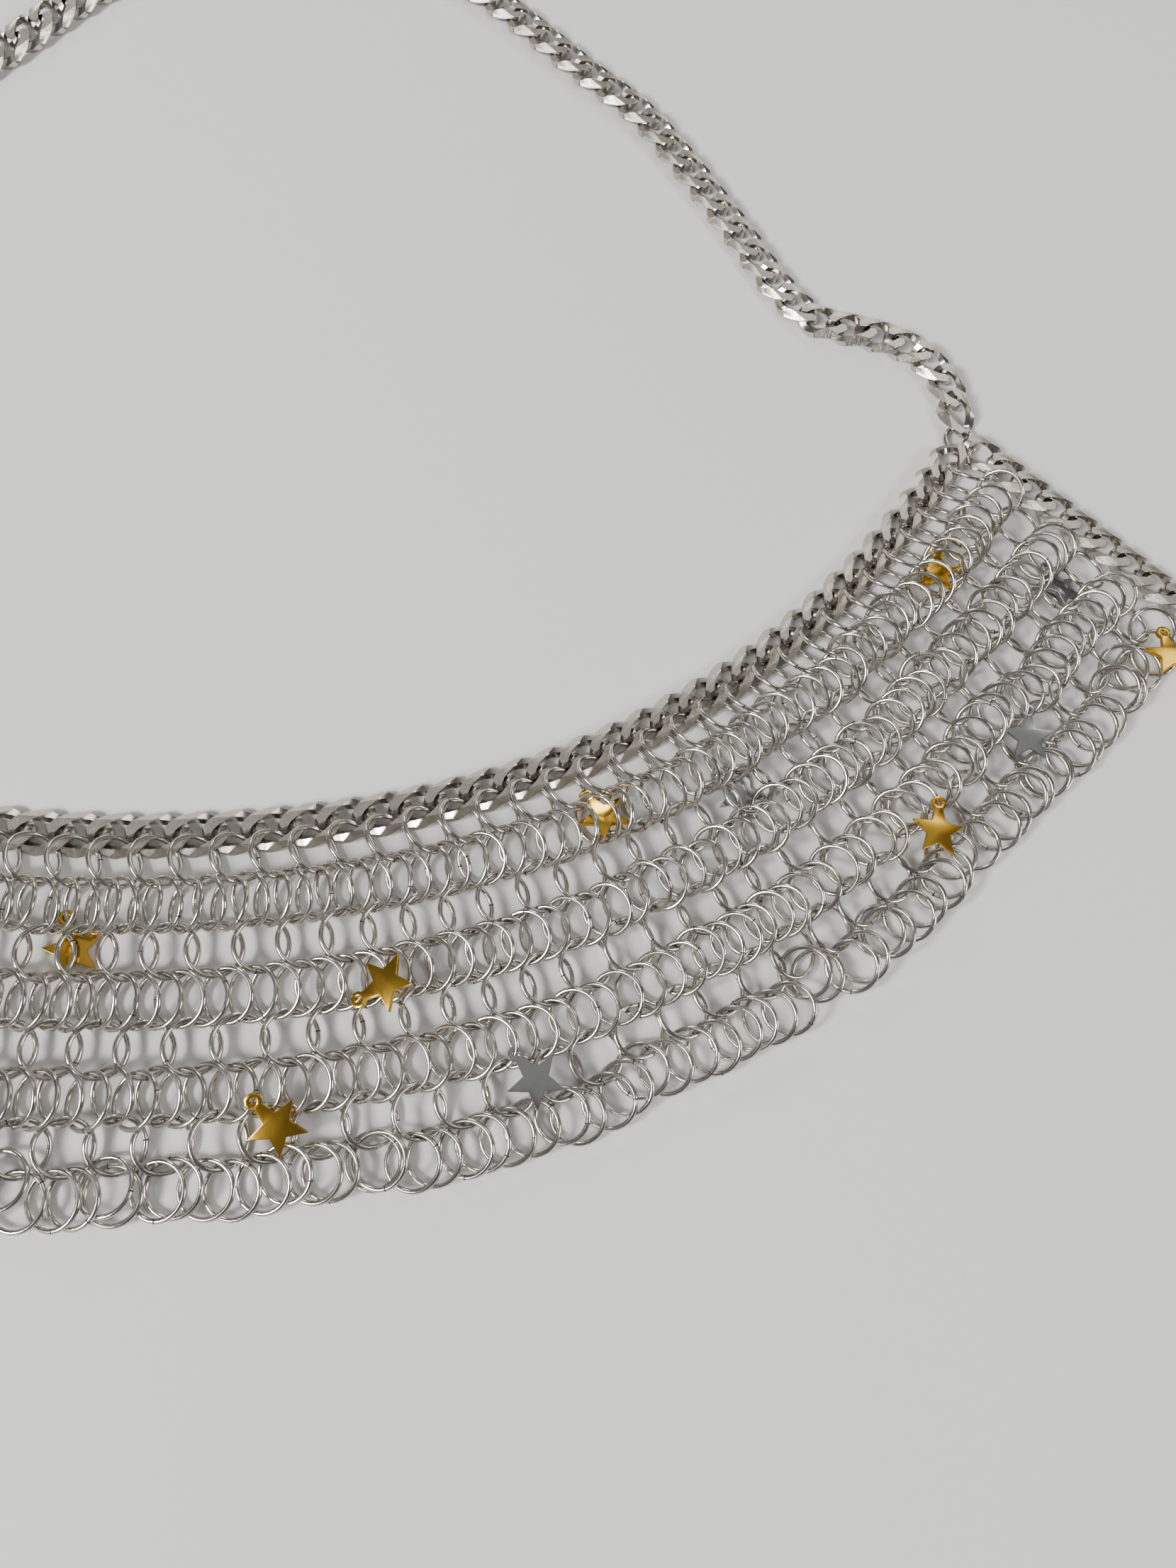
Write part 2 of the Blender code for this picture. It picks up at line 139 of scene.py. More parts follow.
# Star charms: where each is seen from the camera, which way its eye points, and its metal
STAR_RADIUS = 4.7
STAR_WAIST = 2.1
STAR_THICK = 0.9
EYE_RADIUS = 1.3
EYE_HOLE = 0.75
EYE_RISE = 5.4
EYE_FOOT = 4.1
STAR_RIM = 0.12
EYE_REACH = 2.0
CHARM_TRIES = 4000
CAMERA = np.array([38.58, -48.93, 202.33])
Star = namedtuple("Star", ["x", "y", "turn", "metal"])
GOLD, STEEL = "gold", "steel"
STARS = [Star(*values) for values in (
    (-16.0, -19.1, 23, GOLD), (33.5, -26.1, 104, GOLD), (15.6, -47.6, 40, GOLD), (73.3, 2.2, 23, GOLD),
    (141.3, 48.2, -5, GOLD), (136.5, -2.9, -11, GOLD), (191.0, 31.5, -10, GOLD),
    (59.2, -44.2, 31, STEEL), (97.5, 5.0, 50, STEEL), (170.6, 44.7, 20, STEEL), (157.0, 14.8, 10, STEEL),
    (-58.0, -24.0, 30, GOLD), (-95.0, -32.0, -20, GOLD), (-118.0, 18.0, 15, GOLD),
    (-166.0, 32.0, 10, GOLD), (-36.0, -46.0, -25, STEEL), (-80.0, 0.0, 20, STEEL),
    (-148.0, 0.0, -15, STEEL),
)]

# Closure: radii of middle lines and wires, height, and how far a piece's middle lies past its link
CORNER_RADIUS, CORNER_WIRE, CORNER_HEIGHT = 3.2, 0.6, 0.62
END_RADIUS, END_WIRE, END_REACH = 4.4, 0.55, 7.0
HOOK_RADIUS, HOOK_REACH = 3.2, 9.0

# Stage, in metres: name, place, size and power of each soft light
LAMPS = [
    ("key", (-0.72, -0.30, 0.62), 0.20, 10.0), ("fill", (0.80, -0.35, 0.60), 0.34, 4.0),
    ("back", (-0.10, 1.15, 0.52), 0.34, 4.0), ("ceiling", (0.05, 0.45, 1.30), 1.60, 2.2),
    ("corner", (0.80, 0.74, 1.00), 0.55, 2.3),
]
LIT = Vector((0.04, -0.10, 0.0))
HORIZON = (0.56, 0.57, 0.58, 1)
ZENITH = (0.12, 0.122, 0.127, 1)
CAMERA_RIGHT = (0.98827545, -0.06364732, 0.13878276)
CAMERA_UP = (0.02369898, 0.96189885, 0.27237651)
CAMERA_BACK = (-0.15083102, -0.26589401, 0.95212939)

# Left by the mail's operator for the charms' one
PLACES = {}


def norm(vectors, keep=False):
    """Length of each vector."""
    return np.linalg.norm(vectors, axis=-1, keepdims=keep)


def unit(vectors):
    """Each vector at length 1."""
    return vectors / norm(vectors, True)


def smooth_noise(rng, count, step, size):
    """Slowly changing values, one for each of a row's places."""
    knots = rng.normal(size=count // step + 4)
    at = np.arange(count) / step
    index = at.astype(int)
    t = at - index
    t = t * t * (3 - 2 * t)
    return size * (knots[index] * (1 - t) + knots[index + 1] * t)


class Route:
    """A line in the plane, read by the distance along it."""

    def __init__(self, points):
        self.points = np.array(points, float)
        self.steps = np.diff(self.points, axis=0)
        self.spans = norm(self.steps)
        self.marks = np.concatenate([[0.0], np.cumsum(self.spans)])
        self.length = self.marks[-1]

    def at(self, distance):
        """Point and unit tangent at a distance from the start."""
        index = int(np.clip(np.searchsorted(self.marks, distance) - 1, 0, len(self.spans) - 1))
        tangent = self.steps[index] / self.spans[index]
        return self.points[index] + tangent * (distance - self.marks[index]), tangent


def smooth_route(table, steps=10):
    """A Catmull-Rom line through a table of points."""
    points = [Vector(p) for p in table]
    points = [2 * points[0] - points[1]] + points + [2 * points[-1] - points[-2]]
    line = []
    for p0, p1, p2, p3 in zip(points, points[1:], points[2:], points[3:]):
        for step in range(steps):
            t = step / steps
            line.append(0.5 * (2 * p1 + (p2 - p0) * t + (2 * p0 - 5 * p1 + 4 * p2 - p3) * t ** 2
                               + (3 * p1 - p0 - 3 * p2 + p3) * t ** 3))
    return Route(line + [points[-2]])


def neckline_route(steps=240):
    """The neckline's middle line, from the left corner to the right one."""
    steepening = (SCOOP - HALF_CHORD ** 2 / (2 * FRONT_RADIUS)) / HALF_CHORD ** 4
    xs = [HALF_CHORD * (2 * i / steps - 1) for i in range(steps + 1)]
    return Route([(x, x ** 2 / (2 * FRONT_RADIUS) + steepening * x ** 4) for x in xs])


def reach_at(place):
    """How deep the band reaches, from 0 at its middle to 1 at its ends."""
    for (start, shallow), (end, deep) in zip(REACHES, REACHES[1:]):
        if place <= end:
            t = (place - start) / (end - start)
            return shallow + (deep - shallow) * t * t * (3 - 2 * t)
    return deep


class Band:
    """The mail band's own map: a column and a depth below the neckline give a place."""

    def __init__(self, neckline):
        self.neckline = neckline
        _, tangent = neckline.at(neckline.length)
        self.skew = Vector((tangent[1], -tangent[0])).angle_signed(
            Vector((cos(SIDE_SLOPE), sin(SIDE_SLOPE))))
        self.inset = BAND_TOP / cos(self.skew)

    def along(self, column):
        """Distance along the neckline of a column."""
        half = self.neckline.length / 2
        return half + column / (COLUMNS / 2) * (half - self.inset)

    def place(self, column, depth):
        """Point of the plane at a column and a depth."""
        side = column / (COLUMNS / 2)
        point, tangent = self.neckline.at(self.along(column))
        turn = -self.skew * side * abs(side)
        x, y = tangent
        down = np.array([cos(turn) * y + sin(turn) * x, sin(turn) * y - cos(turn) * x])
        return point + down * (BAND_TOP + (depth - BAND_TOP) * reach_at(abs(side)) / BAND_DEPTH)

    def axes(self, column, depth):
        """Unit vectors to the right along the band, and down it."""
        right = self.place(column + 0.02, depth) - self.place(column - 0.02, depth)
        down = self.place(column, depth + 0.05) - self.place(column, depth - 0.05)
        return right / np.linalg.norm(right), down / np.linalg.norm(down)


def outward(column, span):
    """0 at the middle columns, and 1 from a span past them."""
    return min(1.0, max(0.0, (abs(column) - TIDY_COLUMNS) / span))


def ring_plane(right, down, tilt, yaw=0.0, pitch=0.0):
    """Unit normal of a ring whose right side is raised by tilt degrees, turned in plan by yaw, with
    its lower edge raised by pitch."""
    turn, rise, lift = radians(yaw), radians(tilt), radians(pitch)
    along = down * cos(turn) + right * sin(turn)
    across = right * cos(turn) - down * sin(turn)
    normal = np.cross([*(along * cos(lift)), sin(lift)],
                      [*(across * cos(rise)), sin(rise)])
    normal /= np.linalg.norm(normal)
    return normal if normal[2] > 0 else -normal


def plane_axes(normals):
    """Two unit vectors in each ring's plane."""
    first = np.cross(normals, UP)
    size = norm(first, True)
    first = np.where(size < 1e-6, (1.0, 0.0, 0.0), first / np.maximum(size, 1e-9))
    return first, np.cross(normals, first)


def passes(middles, normals, other_middles, other_normals):
    """Whether each ring passes through its other ring."""
    first, second = plane_axes(other_normals)
    along = RING_RADIUS * (normals * first).sum(-1)
    beside = RING_RADIUS * (normals * second).sum(-1)
    offset = (normals * (other_middles - middles)).sum(-1)
    reach = np.hypot(along, beside)
    middle = np.arctan2(beside, along)
    spread = np.arccos(np.clip(-offset / np.maximum(reach, 1e-9), -1, 1))
    inside = 0
    for side in (1, -1):
        angle = (middle + side * spread)[:, None]
        point = other_middles + RING_RADIUS * (np.cos(angle) * first + np.sin(angle) * second)
        inside = inside + (norm(point - middles) < RING_RADIUS)
    return (reach > np.abs(offset)) & (inside == 1)


def give(turn):
    """How far rings yield to a push that turns them so."""
    return 1 + TURN_EASE * (turn ** 2).sum(-1)


class Mail:
    """Every ring's middle and normal, and which rings pass through each other."""

    def __init__(self, band, settings):
        self.band = band
        self.wire = settings.wire / MM
        self.untidy = settings.tumble
        self.rng = np.random.default_rng(settings.seed)
        lean = degrees(settings.lean)
        self.lean = {0: lean + 8, 2: lean, 4: lean - 2}
        places = 2 * COLUMNS + 2
        self.sway = {row: smooth_noise(self.rng, places, 6, 7.0) for row in self.lean}
        self.bunch = {row: smooth_noise(self.rng, places, 4, 0.8) for row in self.lean}
        self.middles, self.normals, self.rows, self.columns = [], [], [], []
        self.charms, self.where, self.links = [], {}, set()
        self.hang()
        self.middles, self.normals = np.array(self.middles), np.array(self.normals)
        self.held = np.array(self.rows) == 0

    def add(self, row, column, through, draw):
        """Lay a ring so that it passes through just these rings: ever more tidily at first, then
        farther and farther off."""
        middles, normals = np.array(self.middles), np.array(self.normals)
        untidy = self.untidy * (1.0 + 0.9 * outward(column, 12))
        best, wrong = None, 0
        for attempt in range(LAY_TRIES):
            if attempt < DRAWN_TRIES:
                size = 0.85 ** attempt if attempt < 14 else 0.5 + 0.03 * attempt
                middle, normal = draw(self.rng.normal(size=4) * untidy * size)
            else:
                middle = best[1] + self.rng.normal(size=3) * LAST_SHIFT
                normal = best[2] + self.rng.normal(size=3) * LAST_TURN
                normal = normal / np.linalg.norm(normal)
            if self.middles:
                found = passes(np.array(middle)[None], normal[None], middles, normals)
                wrong = len(set(np.nonzero(found)[0].tolist()) ^ through)
            if best is None or wrong < best[0]:
                best = wrong, middle, normal
            if not wrong:
                break
        ring = self.where[(row, column)] = len(self.rows)
        self.middles.append(np.array(best[1], float))
        self.normals.append(best[2])
        self.rows.append(row)
        self.columns.append(column)
        self.links |= {(other, ring) for other in through}

    def hang(self):
        """Lay the rows of the weave: each flat ring holds two leaning rings above it and two below."""
        for holder in HOLDERS:
            self.hold(holder)
        for above, below in zip(HOLDERS, HOLDERS[1:]):
            for column, ring in self.row(above.row):
                for step in (-0.5, 0.5):
                    self.lean_between(above, below, ring, column, step)
        last = HOLDERS[-1].row
        for column, ring in self.row(last):
            for step in (-0.25, 0.25):
                self.hem(last + 1, column + step, ring)

    def row(self, number):
        """Columns and rings of a row."""
        return [(column, ring) for (row, column), ring in self.where.items() if row == number]

    def resting(self, tilt):
        """Height of a ring's middle when it leans by tilt degrees on the surface."""
        return RING_RADIUS * sin(radians(abs(tilt))) + self.wire / 2 + CLEAR

    def hold(self, holder):
        """One row of connectors or flat rings."""
        count = COLUMNS if holder.offset else COLUMNS - 1
        drift = smooth_noise(self.rng, count, 3, 0.8)
        for k in range(count):
            column = k + (holder.offset or 1.0) - COLUMNS / 2
            depth = holder.depth - holder.rise * (2 * column / COLUMNS) ** 2
            if holder.row == 0:
                start, right = self.band.neckline.at(self.band.along(column))
                down = np.array([right[1], -right[0]])
                start = start + down * depth + right * CONNECTOR_SHIFT
            else:
                start = self.band.place(column, depth)
                right, down = self.band.axes(column, depth)

            def draw(stray):
                shift, drop, tilt, yaw = stray
                if holder.row == 0:
                    return (*(start + right * 0.04 * shift), holder.height), ring_plane(
                        right, down, holder.tilt + tilt, CONNECTOR_YAW + yaw, CONNECTOR_PITCH)
                middle = start + right * (drift[k] + 0.35 * shift) + down * 0.35 * drop
                return (*middle, holder.height), ring_plane(right, down, holder.tilt + 2 * tilt, 6 * yaw)

            self.add(holder.row, column, set(), draw)

    def lean_between(self, above, below, ring, column, step):
        """A leaning ring from one ring to its neighbour in the row below."""
        other = self.where.get((below.row, column + step))
        if other is None:
            return
        start, end = self.middles[ring][:2], self.middles[other][:2]
        right, _ = self.band.axes(column + step / 2, (above.depth + below.depth) / 2)
        down = (end - start) / np.linalg.norm(end - start)
        across = np.array([-down[1], down[0]])
        across *= np.sign(across @ right)
        upright = 9 * outward(column, 10)
        place = int(2 * (column + step / 2) + COLUMNS)

        def draw(stray):
            shift, drop, tilt, bunch = stray
            tidy = abs(bunch) / (1 + abs(bunch))
            tilt = self.lean[above.row] + upright + self.sway[above.row][place] + 3 * tilt
            tilt = min(STEEPEST, max(FLATTEST, tilt))
            height = self.resting(tilt)
            slide = (height - below.height) / tan(radians(tilt))
            slide *= 0.6 if above.row == 0 else 1.0
            slide += 2 * tidy * self.bunch[above.row][place] + 0.2 * shift
            middle = (start + end) / 2 + right * slide + down * 0.3 * drop
            return (*middle, height), ring_plane(across, down, tilt)

        self.add(above.row + 1, column + step / 2, {ring, other}, draw)

    def hem(self, row, column, ring):
        """A nearly flat ring that hangs free at the hem."""
        right, down = self.band.axes(column, HEM_DEPTH)
        start = self.band.place(column, HEM_DEPTH)

        def draw(stray):
            shift, drop, tilt, yaw = stray
            tilt = min(34.0, abs(HEM_TILT + 8 * tilt))
            middle = start + down * 0.9 * drop + right * (0.5 + 0.8 * shift)
            return (*middle, self.resting(tilt) + 0.2), ring_plane(right, down, tilt, 12 * yaw)

        self.add(row, column, {ring}, draw)

    def relax(self, rounds):
        """Let the rings settle: they push each other apart, sink a little and keep to their places."""
        start, upright = self.middles.copy(), self.normals.copy()
        for turn in range(rounds):
            if turn % PAIRS_EVERY == 0:
                near = self.near(2 * RING_RADIUS + self.wire + PAIR_REACH)
            if turn < SINKING_SHARE * rounds:
                self.middles[:, 2] -= SINK
                self.middles[:, :2] += HOME_PULL * (start - self.middles)[:, :2]
                self.normals += HOME_PULL * (upright - self.normals)
            self.part(near)
            self.clear_charms()
            self.stand()

    def clear_charms(self):
        """Push rings off the charms, all but the ring that holds each charm."""
        for charm, holder in self.charms:
            near = np.nonzero(norm(self.middles - charm.middle) < CHARM_REACH)[0]
            loops = self.points(near, 40)
            spots = np.stack(charm.local(loops))
            gap = clearance(*spots)
            eye = charm.middle + EYE_RISE * charm.up
            gap[(near == holder)[:, None] & (norm(loops - eye) < EYE_REACH)] = OUT_OF_REACH
            ring, spot = np.nonzero(gap < self.wire / 2 + CLEAR)
            if not len(ring):
                continue
            spots, gap = spots[:, ring, spot], gap[ring, spot]
            slope = np.stack([clearance(*(spots + step)) - clearance(*(spots - step))
                              for step in 0.02 * np.eye(3)[:, :, None]], 1)
            slope /= np.maximum(norm(slope, True), 1e-6)
            away = slope @ charm.axes()
            hit = near[ring]
            turn = np.cross(loops[ring, spot] - self.middles[hit], away)
            size = ((self.wire / 2 + CLEAR - gap) / give(turn))[:, None]
            moves, turns = np.zeros((2, *self.middles.shape))
            np.add.at(moves, hit, size * away)
            np.add.at(turns, hit, TURN_EASE * size * turn)
            count = np.maximum(np.bincount(hit, minlength=len(moves)), 1)[:, None]
            self.shift(moves / count, turns / count)

    def near(self, reach):
        """Pairs of rings whose middles are within reach."""
        return np.nonzero(np.triu(norm(self.middles[:, None] - self.middles[None]) < reach, 1))

    def points(self, chosen, count=32):
        """Points round the chosen rings' centre lines."""
        angles = (np.arange(count) * 2 * pi / count)[:, None]
        first, second = plane_axes(self.normals[chosen])
        turned = np.cos(angles) * first[:, None] + np.sin(angles) * second[:, None]
        return self.middles[chosen][:, None] + RING_RADIUS * turned

    def closest(self, points, rings):
        """Closest points to these on the rings' centre lines."""
        middles, normals = self.middles[rings], self.normals[rings]
        offset = points - middles
        offset = offset - (offset * normals).sum(-1, keepdims=True) * normals
        return middles + RING_RADIUS * offset / np.maximum(norm(offset, True), 1e-9)

    def contacts(self, near):
        """Places where two rings come close: their numbers, both points and the distance."""
        one, two = near
        points = self.points(slice(None))[one]
        gap = norm(points - self.closest(points, two[:, None]))
        least = (gap < np.roll(gap, 1, 1)) & (gap <= np.roll(gap, -1, 1))
        pair, spot = np.nonzero(least & (gap < self.wire + CONTACT_REACH))
        one, two, point = one[pair], two[pair], points[pair, spot]
        for _ in range(4):
            other = self.closest(point, two)
            point = self.closest(other, one)
        other = self.closest(point, two)
        return one, two, point, other, norm(point - other)

    def part(self, near):
        """Move and turn rings that touch until their wires are clear of each other."""
        one, two, point, other, gap = self.contacts(near)
        short = self.wire + CLEAR - gap
        hit = short > 0
        one, two, point, other, gap, short = (a[hit] for a in (one, two, point, other, gap, short))
        away = (point - other) / np.maximum(gap, 1e-6)[:, None]
        sides = []
        for ring, spot, way in ((one, point, 1), (two, other, -1)):
            turn = np.cross(spot - self.middles[ring], away)
            free = np.where(self.held[ring], HELD_GIVE, 1.0)
            sides.append((ring, way, turn, free, give(turn) * free))
        size = (short / (sides[0][-1] + sides[1][-1]))[:, None]
        moves, turns = np.zeros((2, *self.middles.shape))
        for ring, way, turn, free, _ in sides:
            step = way * (size * free[:, None])
            np.add.at(moves, ring, step * away)
            np.add.at(turns, ring, TURN_EASE * step * turn)
        touched = np.bincount(np.concatenate([one, two]), minlength=len(moves))
        share = np.minimum(0.96 / np.sqrt(np.maximum(touched, 1)), 1.0)[:, None]
        self.shift(moves * share, turns * share)

    def shift(self, moves, turns):
        """Move and turn the rings, each by a small step at most."""
        moves = moves * np.minimum(1.0, LARGEST_STEP / np.maximum(norm(moves, True), 1e-9))
        swing = norm(turns, True) * RING_RADIUS
        turns = turns * np.minimum(1.0, LARGEST_STEP / np.maximum(swing, 1e-9))
        self.middles = self.middles + moves
        self.normals = unit(self.normals + np.cross(turns, self.normals))

    def stand(self):
        """Keep every ring on the surface."""
        low = self.middles[:, 2] - RING_RADIUS * np.sqrt(np.maximum(1 - self.normals[:, 2] ** 2, 0))
        sunk = np.maximum(self.wire / 2 - low, 0.0)
        down = self.normals * self.normals[:, 2:] - UP
        turn = np.cross(RING_RADIUS * down / np.maximum(norm(down, True), 1e-6), UP)
        lift = (sunk / give(turn))[:, None]
        self.shift(lift * UP, TURN_EASE * lift * turn)

    def linked(self):
        """Pairs of rings that pass through each other now."""
        one, two = self.near(2 * RING_RADIUS + 0.1)
        found = passes(self.middles[one], self.normals[one], self.middles[two], self.normals[two])
        return set(zip(one[found].tolist(), two[found].tolist()))


def clearance(x, y, z):
    """Distance from points in a charm's own axes to its surface."""
    step = pi / 5
    angle = np.abs((np.arctan2(x, y) + step) % (2 * step) - step)
    radius = np.hypot(x, y)
    along, beside = radius * np.cos(angle) - STAR_RADIUS, radius * np.sin(angle)
    dx, dy = STAR_WAIST * cos(step) - STAR_RADIUS, STAR_WAIST * sin(step)
    share = np.clip((along * dx + beside * dy) / (dx ** 2 + dy ** 2), 0.0, 1.0)
    outline = np.hypot(along - share * dx, beside - share * dy)
    outline = np.copysign(outline, along * dy - beside * dx)
    eye = np.abs(np.hypot(x, y - EYE_RISE) - (EYE_RADIUS + EYE_HOLE) / 2)
    flat = np.minimum(outline, eye - (EYE_RADIUS - EYE_HOLE) / 2)
    thick = np.abs(z) - STAR_THICK / 2
    return (np.minimum(np.maximum(flat, thick), 0.0)
            + np.hypot(np.maximum(flat, 0.0), np.maximum(thick, 0.0)))


class Charm:
    """A star charm's place among the rings."""

    def __init__(self, middle, up, normal):
        self.middle, self.up, self.normal = middle, up, normal

    def hang_from(self, loop):
        """Bring the eye's middle back on to its ring's line."""
        reach = loop - self.middle - EYE_RISE * self.up
        self.middle = self.middle + reach[np.argmin(norm(reach))]

    def axes(self):
        """Its right, its way up and its normal."""
        return np.stack([np.cross(self.up, self.normal), self.up, self.normal])

    def local(self, points):
        """Points in the charm's own axes."""
        offset = points - self.middle
        return [offset @ axis for axis in self.axes()]

    def matrix(self):
        """Its place."""
        return Matrix.Translation(self.middle) @ Matrix(self.axes()).transposed().to_4x4()


def seen(points):
    """Where the camera sees points on the surface."""
    return CAMERA[:2] + (points[..., :2] - CAMERA[:2]) * CAMERA[2] / (CAMERA[2] - points[..., 2:])


def hang_charm(star, mail, rng):
    """A charm that hangs near its place, clear of all rings but one, and that ring."""
    target = np.array(star[:2])
    near = np.nonzero(norm(seen(mail.middles) - target) < CHARM_REACH + 1)[0]
    loops = mail.points(near, 40)
    way = radians(90 + star.turn)
    heading = np.array([cos(way), sin(way)])
    off = norm(seen(loops) - target - 5.2 * heading)
    ring, spot = np.nonzero(off < max(3.0, np.sort(off.ravel())[30]))
    pick = rng.integers(len(ring), size=CHARM_TRIES)
    ring, eyes = ring[pick], loops[ring, spot][pick]
    normals = unit(rng.normal(size=(CHARM_TRIES, 3)) * (0.40, 0.30, 0.0) + (-0.25, 0.0, 1.0))
    ways = way + rng.normal(size=CHARM_TRIES) * 0.2
    ups = np.stack([np.cos(ways), np.sin(ways), np.zeros(CHARM_TRIES)], axis=1)
    ups = unit(ups - (ups * normals).sum(1, keepdims=True) * normals)
    middles = eyes - EYE_RISE * ups
    best = None
    for index, charm in enumerate(map(Charm, middles, ups, normals)):
        lean = sqrt(max(0.0, 1 - charm.normal[2] ** 2))
        sunk = max(0.0, STAR_RADIUS * lean + STAR_THICK / 2 - charm.middle[2])
        off = ((seen(charm.middle) - target) ** 2).sum()
        cost = 0.10 * off + 4.0 * sunk ** 2 + 0.15 * charm.middle[2] + 0.2 * lean
        if best and cost > best[0]:
            continue
        gap = clearance(*charm.local(loops))
        gap[ring[index], norm(loops[ring[index]] - eyes[index]) < EYE_REACH] = OUT_OF_REACH
        cost += 6.0 * (np.maximum(0.0, mail.wire / 2 + CLEAR - gap) ** 2).sum()
        if not best or cost < best[0]:
            best = cost, charm, near[ring[index]]
    return best[1:]


def added(name, data):
    """A new object of the scene."""
    obj = bpy.data.objects.new(name, data)
    bpy.context.scene.collection.objects.link(obj)
    return obj


def select(*objects):
    """Select these objects only, and make the first the active one."""
    bpy.ops.object.select_all(action="DESELECT")
    for obj in objects:
        obj.select_set(True)
    bpy.context.view_layer.objects.active = objects[0]


def curve_mesh(name, lines, closed, **settings):
    """A mesh from a curve that runs straight through the points of each line."""
    curve = bpy.data.curves.new(name, "CURVE")
    for key, value in settings.items():
        setattr(curve, key, value)
    for line in lines:
        spline = curve.splines.new("POLY")
        spline.use_cyclic_u = closed
        spline.points.add(len(line) - 1)
        for item, point in zip(spline.points, line):
            item.co = (*point, 0.0, 1.0)
    select(added(name, curve))
    bpy.ops.object.convert(target="MESH")
    return bpy.context.object


def joined(name, template, places):
    """One mesh with a copy of the template at each place, laid in the part's frame."""
    lay = Matrix.Scale(MM, 4) @ Matrix.Translation(LAY)
    copies = []
    for place in places:
        copies.append(added(name, template.data.copy()))
        copies[-1].matrix_world = lay @ place
    select(*copies)
    if len(copies) > 1:
        bpy.ops.object.join()
    bpy.ops.object.transform_apply(location=True, rotation=True, scale=True)
    obj = bpy.context.object
    obj.name = obj.data.name = name
    return obj


def torus(major, minor, segments, sides):
    """A torus at the origin."""
    bpy.ops.mesh.primitive_torus_add(major_segments=segments, minor_segments=sides,
                                     major_radius=major, minor_radius=minor, location=(0, 0, 0))
    obj = bpy.context.object
    bpy.ops.object.shade_smooth()
    return obj


def wire_ring_cage(wire):
    """A coarse ring that one level of subdivision rounds, and draws in, to the mail's ring."""
    drawn_ring, drawn_wire = 0.974, 0.73
    return torus(RING_RADIUS / drawn_ring, wire / 2 / drawn_wire, 14, 4)


def ring_matrix(middle, normal, spin):
    """Place of a ring from its middle, normal and the turn of its seam."""
    turn = Vector(UP).rotation_difference(Vector(normal)).to_matrix().to_4x4()
    return Matrix.Translation(Vector(middle)) @ turn @ Matrix.Rotation(spin, 4, "Z")


def chain_link(settings):
    """One twisted oval link of round wire, its top, underside and outer edges cut to facets."""
    wire = settings.link_wire / MM
    bpy.ops.object.select_all(action="DESELECT")
    bpy.ops.curve.primitive_bezier_circle_add(radius=1.0, location=(0, 0, 0))
    bpy.ops.object.editmode_toggle()
    bpy.ops.transform.resize(value=(LINK_HALF, (CHAIN_WIDTH + LINK_SLACK - wire) / 2, 1))
    bpy.ops.object.editmode_toggle()
    curve = bpy.context.object.data
    curve.resolution_u = 5
    curve.bevel_depth = wire / 2
    curve.bevel_resolution = 1
    bpy.ops.object.convert(target="MESH")
    link = bpy.context.object
    twist = link.modifiers.new("twist", "SIMPLE_DEFORM")
    twist.deform_method = "TWIST"
    twist.deform_axis = "X"
    twist.angle = -2 * LINK_TWIST
    bpy.ops.object.modifier_apply(modifier=twist.name)
    link.data.materials.append(link_steel(settings.link_colour))
    link.data.materials.append(facet_steel(settings.facet_colour))
    link.active_material_index = 1
    out, up = cos(LINK_SLOPE), sin(LINK_SLOPE)
    for place, normal in (((0, 0, LINK_TOP), (0, 0, 1)), ((0, 0, -LINK_TOP), (0, 0, -1)),
                          ((0, LINK_RIDGE, LINK_TOP), (0, out, up)),
                          ((0, -LINK_RIDGE, LINK_TOP), (0, -out, up))):
        bpy.ops.object.editmode_toggle()
        bpy.ops.mesh.select_all(action="SELECT")
        bpy.ops.mesh.bisect(plane_co=place, plane_no=normal, use_fill=True, clear_outer=True)
        bpy.ops.object.material_slot_assign()
        bpy.ops.object.editmode_toggle()
    bpy.ops.object.shade_smooth_by_angle(angle=radians(35))
    return link


def side_route(sign):
    """A side chain's middle line."""
    return smooth_route([(sign * x, y) for x, y in SIDE_CHAIN])


def side_stops(route):
    """Distances of a side chain's links along its route."""
    count = int((route.length - CHAIN_WIDTH / 2) / LINK_PITCH) + 1
    return [SIDE_START + LINK_PITCH * i for i in range(count)]


def link_height(roll):
    """Height of a link's middle when it is rolled on the surface."""
    return LINK_TOP + CHAIN_WIDTH / 2 * sin(abs(roll)) + CLEAR


def end_place(sign, reach, half, wire):
    """Place of a closure piece that is threaded through a side chain's last link and slopes down
    from it: how far its middle is from the link's, and its half length between wire middles."""
    route = side_route(sign)
    point, tangent = route.at(side_stops(route)[-1])
    high, low = link_height(END_ROLL), wire / 2 + CLEAR
    middle = point + tangent * reach
    return (Matrix.Translation((*middle, (high + low) / 2))
            @ Matrix.Rotation(atan2(tangent[1], tangent[0]), 4, "Z")
            @ Matrix.Rotation(asin((high - low) / (2 * half)), 4, "Y"))


def chain_places(route, starts, rng, end_roll=None):
    """Places of the links with their middles at these distances along a route. They roll together."""
    places = []
    rolls = smooth_noise(rng, len(starts), 6, LINK_ROLL)
    for distance, roll in zip(starts, rolls):
        point, tangent = route.at(distance)
        heading = atan2(tangent[1], tangent[0])
        if end_roll and distance == starts[-1]:
            roll = end_roll
        places.append(Matrix.Translation((*point, link_height(roll))) @ Matrix.Rotation(heading, 4, "Z")
                      @ Matrix.Rotation(roll, 4, "X"))
    return places


